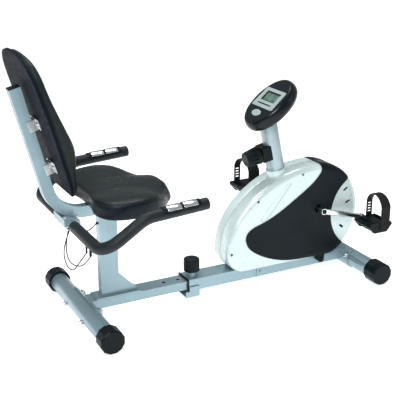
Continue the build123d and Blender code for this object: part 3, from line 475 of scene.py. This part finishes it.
FINISHES = {
    "frame_paint": metallic_paint("frame_paint", (0.28, 0.40, 0.45), 0.36),
    "post_paint": metallic_paint("post_paint", (0.33, 0.43, 0.46), 0.36),
    "shell_silver": metallic_paint("shell_silver", (0.62, 0.74, 0.745), 0.30, 0.3),
    "black_plastic": moulded_plastic("black_plastic", (0.0035, 0.0075, 0.0095), 0.38),
    "cover_black": moulded_plastic("cover_black", (0.003, 0.0075, 0.0105), 0.36),
    "black_vinyl": vinyl("black_vinyl", (0.0075, 0.0135, 0.0145), 0.40),
    # A darker, bluer, smoother copy of the vinyl: painted shade and painted reflection on the
    # seat's side band; on the backrest it gives the rear face its navy.
    "shade_and_navy_vinyl": vinyl("shade_and_navy_vinyl", (0.003, 0.0075, 0.013), 0.34, 0.16),
    "board_black": vinyl("board_black", (0.002, 0.005, 0.011), 0.62, 0.08),
    "console_gloss": glossy_plastic("console_gloss", (0.0012, 0.0045, 0.0075)),
    "foam_black": foam("foam_black", (0.005, 0.010, 0.013)),
    "chrome": plated("chrome", (0.80, 0.83, 0.84), 0.10),
    "zinc_steel": worked_steel("zinc_steel", (0.62, 0.65, 0.66), 0.30),
    "dark_steel": worked_steel("dark_steel", (0.22, 0.24, 0.25), 0.36),
    "cast_wheel": cast_iron("cast_wheel", (0.12, 0.12, 0.13)),
    "belt_rubber": moulded_plastic("belt_rubber", (0.010, 0.011, 0.012), 0.55, 500.0),
    "lead_rubber": moulded_plastic("lead_rubber", (0.012, 0.014, 0.015), 0.45, 1600.0),
    "bezel_silver": metallic_paint("bezel_silver", (0.47, 0.58, 0.57), 0.28, 0.5),
    "display_green": display("display_green", (0.09, 0.165, 0.13)),
    "plywood": plywood("plywood", (0.10, 0.075, 0.05)),
}
# Nodes with a finer finish than their slot's.
OTHER_FINISH = {"console_front": "console_gloss", "console_back": "console_gloss"}


def paint(obj, slot):
    for holder in obj.material_slots:
        holder.material = FINISHES[slot]
    if not obj.material_slots:
        obj.data.materials.append(FINISHES[slot])


# Pieces ----------------------------------------------------------------------


def soften_edges(obj):
    """A small radius on every sharp edge, which catches the light."""
    weld = obj.modifiers.new("weld", "WELD")
    weld.merge_threshold = WELD_REACH
    bevel = obj.modifiers.new("edges", "BEVEL")
    bevel.width = EDGE_RADIUS
    bevel.segments = EDGE_SEGMENTS
    bevel.limit_method = "ANGLE"
    bevel.angle_limit = EDGE_ANGLE
    bevel.harden_normals = True


def link(obj):
    bpy.context.scene.collection.objects.link(obj)
    return obj


def mesh_piece(name, points, faces, smooth=True):
    mesh = bpy.data.meshes.new(name)
    mesh.from_pydata([tuple(p) for p in points], [], faces)
    mesh.validate()
    if smooth:
        mesh.shade_smooth()
    return link(bpy.data.objects.new(name, mesh))


def place(obj, body, slot, *nodes):
    """The piece takes its finish, rides on its body and stands for these CAD nodes."""
    paint(obj, slot)
    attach(obj, body)
    if nodes:
        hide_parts(*nodes)
    return obj


def design(x, y, z):
    """A point of the design, in the frame."""
    return Vector((x - BIKE_CENTRE_X, y, z))


def rounded_curve(points):
    """Closed Catmull-Rom curve through the points."""
    count = len(points)
    made = []
    for i in range(count):
        a, b, c, d = (points[(i + k) % count] for k in (-1, 0, 1, 2))
        for step in range(CURVE_STEPS):
            t = step / CURVE_STEPS
            made.append(
                0.5
                * (
                    2 * b
                    + (c - a) * t
                    + (2 * a - 5 * b + 4 * c - d) * t**2
                    + (3 * b - 3 * c + d - a) * t**3
                )
            )
    return made


def even_loop(points, count):
    """The same closed line with its points evenly spaced."""
    total = [0.0]
    ring = points + [points[0]]
    for a, b in zip(ring, ring[1:]):
        total.append(total[-1] + (b - a).length)
    made = []
    at = 0
    for i in range(count):
        want = total[-1] * i / count
        while total[at + 1] < want:
            at += 1
        share = (want - total[at]) / (total[at + 1] - total[at])
        made.append(ring[at].lerp(ring[at + 1], share))
    return made


def skin_rings(name, rings):
    """A closed form through loops of the same count, closed at each end by a fan."""
    points = [p for ring in rings for p in ring]
    count = len(rings[0])
    following = [(i, (i + 1) % count) for i in range(count)]
    faces = []
    for level in range(len(rings) - 1):
        low, high = level * count, (level + 1) * count
        faces += [(low + i, low + j, high + j, high + i) for i, j in following]
    hub = len(points)
    last = (len(rings) - 1) * count
    points += [sum(rings[0], Vector()) / count, sum(rings[-1], Vector()) / count]
    faces += [(j, i, hub) for i, j in following]
    faces += [(last + i, last + j, hub + 1) for i, j in following]
    return mesh_piece(name, points, faces)


def smooth_step(value, low, high):
    t = min(1.0, max(0.0, (value - low) / (high - low)))
    return t * t * (3 - 2 * t)


def through(table, where):
    """Smooth height at a place, through a table of (place, height)."""
    last = len(table) - 1
    at = 0
    while at < last - 1 and where > table[at + 1][0]:
        at += 1
    where = min(max(where, table[0][0]), table[last][0])

    def slope(i):
        (a, low), (b, high) = table[max(i - 1, 0)], table[min(i + 1, last)]
        return (high - low) / (b - a)

    (a, low), (b, high) = table[at], table[at + 1]
    span = b - a
    t = (where - a) / span
    return (
        low * (1 + 2 * t) * (1 - t) ** 2
        + high * t * t * (3 - 2 * t)
        + slope(at) * span * t * (1 - t) ** 2
        - slope(at + 1) * span * t * t * (1 - t)
    )


def seat_loop():
    """Outline seen from above; its rear edge is hollow between two lobes."""
    right = [Vector((x, -y, 0)) for x, y in SEAT_OUTLINE]
    left = [Vector((x, y, 0)) for x, y in reversed(SEAT_OUTLINE)]
    rear = [Vector((x, y, 0)) for x, y in SEAT_REAR]
    return even_loop(rounded_curve(right + left + rear), LOOP_POINTS)


def seat_lip(x):
    drop = smooth_step(x, *SEAT_NOSE_STEP)
    return SEAT_LIP_Z + (SEAT_NOSE_LIP_Z - SEAT_LIP_Z) * drop


def seat_bottom(x):
    drop = smooth_step(x, *SEAT_NOSE_STEP)
    return SEAT_BOTTOM_Z + (SEAT_NOSE_BOTTOM_Z - SEAT_BOTTOM_Z) * drop


def seat_top(x, y):
    """A dished middle with raised wings, which fade towards the nose."""
    narrowing = SEAT_WING_NARROWING * smooth_step(x, *SEAT_WING_NARROWS)
    full = SEAT_WING_START + SEAT_WING_SPAN * (1 - narrowing)
    wing = smooth_step(abs(y), SEAT_WING_START, full)
    return through(SEAT_TOP, x) + through(SEAT_WING, x) * wing


def seat_shape():
    """Underside, lip, side band and top. The seam is where band and top meet."""
    outline = seat_loop()
    centre = Vector((SEAT_CENTRE_X, 0, 0))

    def ring(scale, height, lean=0.0):
        made = []
        for p in outline:
            inward = scale - lean * SEAT_NOSE_LEAN * smooth_step(p.x, *SEAT_LEAN_STARTS)
            q = centre + (p - centre) * inward
            made.append(design(q.x, q.y, height(q.x, q.y)))
        return made

    def under(x, y):
        return seat_bottom(x)

    def band(share):
        return lambda x, y: seat_lip(x) + share * (through(SEAT_SEAM, x) - seat_lip(x))

    def top(share):
        return lambda x, y: through(SEAT_SEAM, x) + share * (
            seat_top(x, y) - through(SEAT_SEAM, x)
        )

    rings = [ring(scale, under) for scale in SEAT_UNDER_LOOPS]
    rings += [ring(scale, band(0.0)) for scale in SEAT_LIP_LOOPS]
    rings += [ring(scale, band(share), share) for scale, share in SEAT_SIDE_LOOPS]
    rings.append(ring(SEAT_SEAM_LOOP, band(1.0), 1.0))
    rings += [ring(scale, top(share), 1.0) for scale, share in SEAT_CROWN_LOOPS]
    rings += [ring(scale, top(1.0), scale) for scale in SEAT_TOP_LOOPS]
    return rings, SEAT_SEAM_LEVELS


def back_point(y, v, w):
    foot = design(*BACK_FOOT)
    across = Vector((0, 1, 0))
    up = Vector((-math.sin(BACK_LEAN), 0, math.cos(BACK_LEAN)))
    out = Vector((math.cos(BACK_LEAN), 0, math.sin(BACK_LEAN)))
    return foot + across * y + up * v + out * w


def back_loop():
    right = [Vector((y, v, 0)) for y, v in BACK_OUTLINE]
    left = [Vector((-y, v, 0)) for y, v in reversed(BACK_OUTLINE[:-1])]
    low = [Vector((y, BACK_OUTLINE[0][1] - BACK_LOW_SAG, 0)) for y in BACK_LOW_EDGE]
    return even_loop(rounded_curve(right + left + low), LOOP_POINTS)


def back_shape():
    """Rear face, side band and front. The seam is where band and front meet."""
    outline = back_loop()
    centre = Vector((0, BACK_CENTRE_V, 0))

    def scaled(scale, depth):
        made = []
        for p in outline:
            q = centre + (p - centre) * scale
            made.append(back_point(q.x, q.y, depth(q.y)))
        return made

    def inset(distance, depth):
        made = []
        for p in outline:
            reach = (p - centre).length
            q = centre + (p - centre) * (1 - distance / reach)
            made.append(back_point(q.x, q.y, depth(q.y)))
        return made

    def flat(v):
        return BOARD_THICKNESS

    def band(share):
        return lambda v: BOARD_THICKNESS + share * (through(BACK_EDGE, v) - BOARD_THICKNESS)

    def front(scale):
        crown = BACK_CROWN * (1 - scale**2) + BACK_CROWN_EDGE
        return lambda v: through(BACK_EDGE, v) + crown

    rings = [scaled(scale, flat) for scale in BACK_REAR_LOOPS]
    rings += [inset(distance, band(share)) for distance, share in BACK_SIDE_LOOPS]
    rings += [scaled(scale, front(scale)) for scale in BACK_FRONT_LOOPS]
    return rings, BACK_SEAM_LEVELS


def apply_modifiers(obj):
    depsgraph = bpy.context.evaluated_depsgraph_get()
    mesh = bpy.data.meshes.new_from_object(obj.evaluated_get(depsgraph))
    obj.modifiers.clear()
    old = obj.data
    obj.data = mesh
    bpy.data.meshes.remove(old)


def remeshed(obj, voxel):
    modifier = obj.modifiers.new("voxels", "REMESH")
    modifier.mode = "VOXEL"
    modifier.voxel_size = voxel
    modifier.use_smooth_shade = True
    apply_modifiers(obj)


def simulate(obj):
    """Where the cloth's points come to rest under pressure."""
    cloth = obj.modifiers.new("cloth", "CLOTH")
    settings = cloth.settings
    settings.vertex_group_mass = "held"
    for name, value in CLOTH_SETTINGS.items():
        setattr(settings, name, value)
    settings.use_pressure = True
    settings.uniform_pressure_force = CLOTH_PRESSURE
    settings.effector_weights.gravity = 0.0
    for number in range(1, CLOTH_FRAMES + 1):
        bpy.context.scene.frame_set(number)
    depsgraph = bpy.context.evaluated_depsgraph_get()
    swollen = obj.evaluated_get(depsgraph).to_mesh()
    after = [v.co.copy() for v in swollen.vertices]
    obj.evaluated_get(depsgraph).to_mesh_clear()
    obj.modifiers.clear()
    return after


def inflate(obj, held):
    """Pressure swells the cover between the places that hold it, then it is evened out."""
    mesh = obj.data
    group = obj.vertex_groups.new(name="held")
    group.add([v.index for v in mesh.vertices if held(v.co)], 1.0, "REPLACE")
    for vertex, new in zip(mesh.vertices, simulate(obj)):
        move = new - vertex.co
        if move.length > CLOTH_CAP:
            move = move.normalized() * CLOTH_CAP
        vertex.co += move
    bpy.context.scene.frame_set(1)
    settle = obj.modifiers.new("settle", "SMOOTH")
    settle.factor = SETTLE_SHARE
    settle.iterations = SETTLE_PASSES
    settle.vertex_group = "held"
    settle.invert_vertex_group = True
    apply_modifiers(obj)


def near_line(point, line, reach):
    """1 on the line, falling to 0 at reach."""
    nearest = min((point - p).length for p in line)
    return max(0.0, 1.0 - nearest / reach)


def groove(obj, line):
    """Draws the cover in along a seam."""
    for vertex in obj.data.vertices:
        pull = near_line(vertex.co, line, GROOVE_REACH)
        if pull > 0:
            vertex.co -= vertex.normal * GROOVE_DEPTH * pull * pull


def surface_loop(obj, line, lift):
    """The line laid on the piece's surface, standing lift above it."""
    tree = BVHTree.FromPolygons(
        [v.co for v in obj.data.vertices], [p.vertices for p in obj.data.polygons]
    )
    made = []
    for point in line:
        spot, normal = tree.find_nearest(point)[:2]
        made.append(spot + normal * lift)
    return made


def smooth_loop(line, times):
    count = len(line)
    for _ in range(times):
        line = [
            (line[i - 1] + line[i] * 2 + line[(i + 1) % count]) / 4 for i in range(count)
        ]
    return line


def tube_loop(name, line, radius):
    """A closed tube along a closed line, as a mesh."""
    count, sides = len(line), PIPING_SIDES
    points = []
    up = Vector((0, 0, 1))
    for i, centre in enumerate(line):
        along = (line[(i + 1) % count] - line[i - 1]).normalized()
        side = along.cross(up)
        if side.length < 0.05:
            side = along.cross(Vector((0, 1, 0)))
        side.normalize()
        top = side.cross(along).normalized()
        for k in range(sides):
            turn = 2 * math.pi * k / sides
            points.append(centre + (side * math.cos(turn) + top * math.sin(turn)) * radius)
    faces = []
    for i in range(count):
        j = (i + 1) % count
        for k in range(sides):
            m = (k + 1) % sides
            faces.append((i * sides + k, i * sides + m, j * sides + m, j * sides + k))
    return mesh_piece(name, points, faces)


def cushion(name, shape, on_the_base, shade_and_navy_part, node, piping_radius):
    """A padded cushion with a piped seam, simulated from its sewn shape."""
    rings, held_levels = shape
    obj = skin_rings(name, rings)
    seam = rings[held_levels[0]]
    remeshed(obj, CLOTH_VOXEL)

    def held(point):
        lines = [rings[level] for level in held_levels]
        return on_the_base(point) or any(near_line(point, a, HELD_REACH) > 0 for a in lines)

    inflate(obj, held)
    groove(obj, seam)
    obj.data.shade_smooth()
    subdivide = obj.modifiers.new("smooth", "SUBSURF")
    subdivide.levels = 1
    subdivide.render_levels = 1
    place(obj, "rear_section", "black_vinyl", node)
    # The darker, bluer vinyl: painted shade and painted reflection on the seat's side band,
    # the navy of the backrest's rear face.
    obj.data.materials.append(FINISHES["shade_and_navy_vinyl"])
    for face in obj.data.polygons:
        face.material_index = int(shade_and_navy_part(face.center))
    line = smooth_loop(surface_loop(obj, seam, piping_radius / 2), PIPING_SMOOTHING)
    place(tube_loop(name + "_piping", line, piping_radius), "rear_section", "black_vinyl")


def seat():
    def on_the_pan(point):
        return point.z < seat_bottom(point.x + BIKE_CENTRE_X) + BASE_REACH

    # Painted shade: the side band below the seam takes the darker, bluer vinyl.
    def shaded_side_band(point):
        return point.z < through(SEAT_SEAM, point.x + BIKE_CENTRE_X) + BAND_MARGIN

    cushion("seat_pad", seat_shape(), on_the_pan, shaded_side_band, "seat_cushion", SEAT_PIPING)


def backrest():
    out = Vector((math.cos(BACK_LEAN), 0, math.sin(BACK_LEAN)))
    foot = design(*BACK_FOOT)

    def on_the_board(point):
        return (point - foot).dot(out) < BOARD_THICKNESS + BASE_REACH

    cushion(
        "back_pad", back_shape(), on_the_board, on_the_board, "backrest_cushion", BACK_PIPING
    )


def lead(name, route):
    curve = bpy.data.curves.new(name + "_cord", "CURVE")
    curve.dimensions = "3D"
    curve.bevel_depth = LEAD_DIAMETER / 2
    curve.bevel_resolution = 4
    curve.resolution_u = 24
    curve.use_fill_caps = True
    spline = curve.splines.new("NURBS")
    spline.points.add(len(route) - 1)
    for point, (x, y, z) in zip(spline.points, route):
        point.co = (*design(x, y, z), 1.0)
    spline.order_u = 3
    spline.use_endpoint_u = True
    obj = link(bpy.data.objects.new(name + "_cord", curve))
    place(obj, "rear_section", "lead_rubber", name)


# Console details -------------------------------------------------------------


def console_point(across, up, depth):
    """A point on the console, across to its right and up its face."""
    along = Vector((math.cos(CONSOLE_TILT), 0, math.sin(CONSOLE_TILT)))
    out = Vector((-math.sin(CONSOLE_TILT), 0, math.cos(CONSOLE_TILT)))
    return design(*CONSOLE_CENTRE) + Vector((0, -across, 0)) + along * up + out * depth


def bar(a0, u0, a1, u1):
    """Corners of a bar on the console's face."""
    return ((a0, u0), (a1, u0), (a1, u1), (a0, u1))


def digit_bars(value, across, up, height):
    """The lit bars of a seven-segment digit."""
    width, stroke, half = height * DIGIT_WIDTH, height * DIGIT_STROKE, height / 2
    flat = {0: up + height - stroke, 3: up, 6: up + half - stroke / 2}
    bars = []
    for k in SEGMENTS[value]:
        if k in flat:
            right = across + width - stroke
            bars.append(bar(across + stroke, flat[k], right, flat[k] + stroke))
        else:
            left = across if k in (4, 5) else across + width - stroke
            low = up + (half if k in (1, 5) else 0) + stroke * DIGIT_GAP
            high = low + half - 2 * stroke * DIGIT_GAP
            bars.append(bar(left, low, left + stroke, high))
    return bars


def slabs(name, bars, depths):
    """Thin blocks over these bars, between two depths."""
    points, faces = [], []
    for corners in bars:
        start = len(points)
        points += [console_point(a, u, depth) for depth in depths for a, u in corners]
        block = [(3, 2, 1, 0), (4, 5, 6, 7)]
        block += [(i, (i + 1) % 4, (i + 1) % 4 + 4, i + 4) for i in range(4)]
        faces += [tuple(start + i for i in face) for face in block]
    place(mesh_piece(name, points, faces, smooth=False), "front_frame", "black_plastic")


def display_details():
    """Generic counts on the display, its dark surround, and a dark strip below it: painted
    shade for the slot's opening.
    """
    counts = []
    for digit in DISPLAY_DIGITS:
        counts += digit_bars(*digit)
    slabs("display_counts", counts, DIGIT_DEPTH)
    inner, outer = SURROUND_ACROSS
    low_in, low_out = SURROUND_LOW
    high_in, high_out = SURROUND_HIGH
    surround = [
        bar(-outer, low_out, outer, low_in),
        bar(-outer, high_in, outer, high_out),
        bar(-outer, low_in, -inner, high_in),
        bar(inner, low_in, outer, high_in),
    ]
    slabs("display_surround", surround, SURROUND_DEPTH)
    # Painted shade: a dark strip standing for the slot's opening.
    slabs("display_slot_shade", [bar(*SHADED_SLOT)], SHADED_SLOT_DEPTH)


# Scene -----------------------------------------------------------------------


def camera():
    bpy.context.scene.view_settings.view_transform = "Standard"
    data = bpy.data.cameras.new("camera")
    data.lens = CAMERA_LENS
    data.sensor_width = CAMERA_SENSOR
    obj = link(bpy.data.objects.new("camera", data))
    azimuth, elevation = math.radians(CAMERA_AZIMUTH), math.radians(CAMERA_ELEVATION)
    back = Vector(
        (
            math.sin(azimuth) * math.cos(elevation),
            -math.cos(azimuth) * math.cos(elevation),
            math.sin(elevation),
        )
    )
    obj.location = Vector(CAMERA_TARGET) + back * CAMERA_DISTANCE
    obj.rotation_euler = (-back).to_track_quat("-Z", "Y").to_euler()
    bpy.context.scene.camera = obj


def softbox(name, stand, aim, size, power):
    data = bpy.data.lights.new(name, "AREA")
    data.shape = "RECTANGLE"
    data.size, data.size_y = size
    data.energy = power
    obj = link(bpy.data.objects.new(name, data))
    obj.location = stand
    direction = Vector(aim) - Vector(stand)
    obj.rotation_euler = direction.to_track_quat("-Z", "Y").to_euler()


def studio():
    corners = [(x * FLOOR_REACH, y * FLOOR_REACH, 0) for x, y in bar(-1, -1, 1, 1)]
    floor = mesh_piece("floor", corners, [(0, 1, 2, 3)])
    f = Finish("floor_white", (0.92, 0.925, 0.925))
    f.shader.inputs["Emission Color"].default_value = (1.0, 1.0, 1.0, 1.0)
    f.shader.inputs["Emission Strength"].default_value = FLOOR_GLOW
    f.tint(f.noise(3, 3), 0.99, 1.0)
    floor.data.materials.append(f.material)
    world = bpy.data.worlds.new("studio")
    world.use_nodes = True
    background = world.node_tree.nodes["Background"]
    background.inputs["Color"].default_value = (0.97, 0.985, 1.0, 1.0)
    background.inputs["Strength"].default_value = SKY_STRENGTH
    bpy.context.scene.world = world
    softbox("key", (-1.8, -2.2, 2.6), (0, 0, 0.35), (1.2, 1.2), 74)
    softbox("fill", (2.4, -1.8, 1.6), (0.1, 0, 0.35), (1.4, 1.4), 4)
    softbox("top", (0.0, 0.6, 3.0), (0, 0, 0.3), (2.2, 1.2), 58)


camera()
for lead_name, (lead_length, lead_route) in LEADS.items():
    lead(lead_name, lead_route)
slots = {row["node"]: row["material_slot"] for row in frame["record"]["subparts"]}
for node_name, node in frame["nodes"].items():
    paint(node, OTHER_FINISH.get(node_name, slots[node_name]))
    soften_edges(node)
seat()
backrest()
display_details()
studio()
